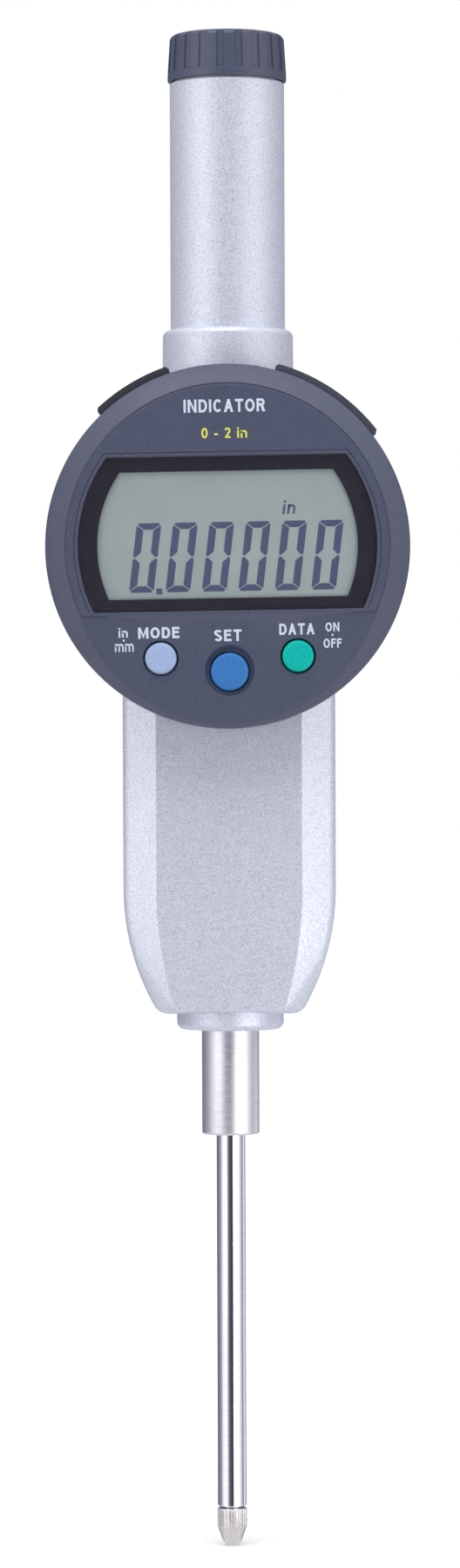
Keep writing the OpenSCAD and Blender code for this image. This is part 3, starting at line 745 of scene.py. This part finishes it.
def make_floor(z):
    """A white floor that is seen but not mirrored, and lights nothing: the studio lights from below too."""
    bm = bmesh.new()
    bmesh.ops.create_circle(bm, cap_ends=True, radius=FLOOR_R, segments=96)
    mesh = bpy.data.meshes.new("floor")
    bm.to_mesh(mesh)
    bm.free()
    floor = bpy.data.objects.new("floor", mesh)
    floor.location = (0, 0, z)
    bpy.context.scene.collection.objects.link(floor)
    look = Look("floor", roughness=0.9)
    look.set("Specular IOR Level", 0.0)
    look.set("Emission Color", (1, 1, 1, 1))
    reach = look.add("ShaderNodeVectorMath", operation="LENGTH")
    look.feed(reach.inputs[0], look.place)
    glow = look.remap(reach.outputs["Value"], GLOW_NEAR, GLOW_FAR, GLOW_LOW, GLOW_HIGH)
    look.set("Emission Strength", glow)
    look.colour(look.grain(look.noise(4, 2), shade(WHITE, 0.91), shade(WHITE, 0.93)))
    mesh.materials.append(look.material)
    floor.visible_glossy = False
    floor.visible_diffuse = False


# Soft boxes: degrees from the front with right positive, degrees up, distance from the object, width and
# height in metres, and watts
SOFT_BOXES = {
    "left_box": (-46, 0, 0.7, 0.35, 0.34, 0.22),
    "right_box": (38, -16, 0.42, 0.32, 0.22, 0.47),
    "low_back_box": (126, -16, 0.5, 0.26, 0.18, 0.1),
    "top_box": (-8, 60, 1.1, 1.2, 0.8, 4.9),
}
LIGHT_AIM = Vector((0, 0, 0.05))


def soft_box(name, azimuth, elevation, distance, width, height, watts):
    """A rectangular light that faces the middle of the object."""
    a, e = math.radians(azimuth), math.radians(elevation)
    toward = Vector((math.sin(a) * math.cos(e), -math.cos(a) * math.cos(e), math.sin(e)))
    data = bpy.data.lights.new(name, "AREA")
    data.shape = "RECTANGLE"
    data.size = width
    data.size_y = height
    data.energy = watts
    light = bpy.data.objects.new(name, data)
    light.location = LIGHT_AIM + distance * toward
    light.rotation_mode = "QUATERNION"
    light.rotation_quaternion = (-toward).to_track_quat("-Z", "Y")
    bpy.context.scene.collection.objects.link(light)


# Brightness of the studio round the object: degrees from the front with right positive, and level
AROUND = [(-180, 0.16), (-132, 0.19), (-94, 0.36), (-68, 0.98), (-44, 1.06), (-32, 0.64), (-22, 0.26),
          (-12, 0.12), (0, 0.07), (14, 0.06), (22, 0.11), (30, 0.34), (40, 0.70), (54, 0.98), (74, 0.84),
          (90, 0.46), (110, 0.26), (145, 0.17), (180, 0.16)]
# A curve node holds values up to 1, so it holds the levels divided by this
TALLEST = 2.0
ABOVE = 0.85
BELOW = 0.70
WORLD_LEVEL = 1.15
# The studio's dim parts are bluer than its bright ones
DIM_TINT = (0.82, 0.84, 1.12, 1)
BRIGHT_TINT = (0.97, 0.98, 1, 1)


def studio_level(nodes):
    """Brightness of the studio in each direction, as a node's output."""
    direction = nodes.add("ShaderNodeSeparateXYZ")
    nodes.feed(direction.inputs["Vector"], nodes.add("ShaderNodeTexCoord").outputs["Generated"])
    forward = nodes.maths("MULTIPLY", direction.outputs["Y"], -1.0)
    azimuth = nodes.maths("ARCTAN2", direction.outputs["X"], forward)
    around = nodes.add("ShaderNodeFloatCurve")
    nodes.feed(around.inputs["Value"], nodes.remap(azimuth, -math.pi, math.pi, 0.0, 1.0))
    curve = around.mapping.curves[0]
    spots = [((angle + 180) / 360, level / TALLEST) for angle, level in AROUND]
    curve.points[0].location = spots[0]
    curve.points[-1].location = spots[-1]
    for spot in spots[1:-1]:
        curve.points.new(*spot)
    around.mapping.update()
    level = nodes.maths("MULTIPLY", around.outputs["Value"], TALLEST)
    up = nodes.remap(direction.outputs["Z"], 0.35, 0.75, 0.0, 1.0, "SMOOTHSTEP")
    down = nodes.remap(direction.outputs["Z"], -0.2, -0.6, 0.0, 1.0, "SMOOTHSTEP")
    return nodes.mix_numbers(down, nodes.mix_numbers(up, level, ABOVE), BELOW)


def make_world():
    """White to the eye. To the object, a studio: dark in front, bright at both sides and above."""
    world = bpy.data.worlds.new("studio")
    bpy.context.scene.world = world
    world.use_nodes = True
    nodes = Tree(world.node_tree)
    nodes.tree.nodes.clear()
    level = studio_level(nodes)
    lit = nodes.add("ShaderNodeBackground")
    nodes.feed(lit.inputs["Strength"], nodes.maths("MULTIPLY", level, WORLD_LEVEL))
    brightness = nodes.remap(level, 0.05, 0.5, 0.0, 1.0, "SMOOTHSTEP")
    nodes.feed(lit.inputs["Color"], nodes.mix_colours(brightness, DIM_TINT, BRIGHT_TINT))
    seen = nodes.add("ShaderNodeBackground")
    seen.inputs["Color"].default_value = (1, 1, 1, 1)
    mix = nodes.add("ShaderNodeMixShader")
    nodes.feed(mix.inputs["Fac"], nodes.add("ShaderNodeLightPath").outputs["Is Camera Ray"])
    nodes.feed(mix.inputs[1], lit.outputs["Background"])
    nodes.feed(mix.inputs[2], seen.outputs["Background"])
    nodes.feed(nodes.add("ShaderNodeOutputWorld").inputs["Surface"], mix.outputs["Shader"])


def make_camera():
    """A camera at EYE that looks at TARGET and takes in the whole height of the image."""
    data = bpy.data.cameras.new("camera")
    data.sensor_fit = "AUTO"
    data.sensor_width = SENSOR
    distance = abs(EYE.y) / MM
    data.lens = SENSOR * PIXELS_PER_MM * distance / IMAGE_HEIGHT
    data.clip_start = 0.05
    data.clip_end = 20.0
    camera = bpy.data.objects.new("camera", data)
    camera.location = EYE
    camera.rotation_mode = "QUATERNION"
    aim = (TARGET - EYE).to_track_quat("-Z", "Y")
    camera.rotation_quaternion = aim @ Matrix.Rotation(ROLL, 3, "Z").to_quaternion()
    bpy.context.scene.collection.objects.link(camera)
    bpy.context.scene.camera = camera


make_camera()
make_world()
make_floor(CAD_BOX[0].z)
for name, numbers in SOFT_BOXES.items():
    soft_box(name, *numbers)
bpy.context.scene.view_settings.view_transform = "Standard"

dress_cad()
# The display is lit as if there were no window over it
NODES["window"].visible_shadow = False
display()
lettering()
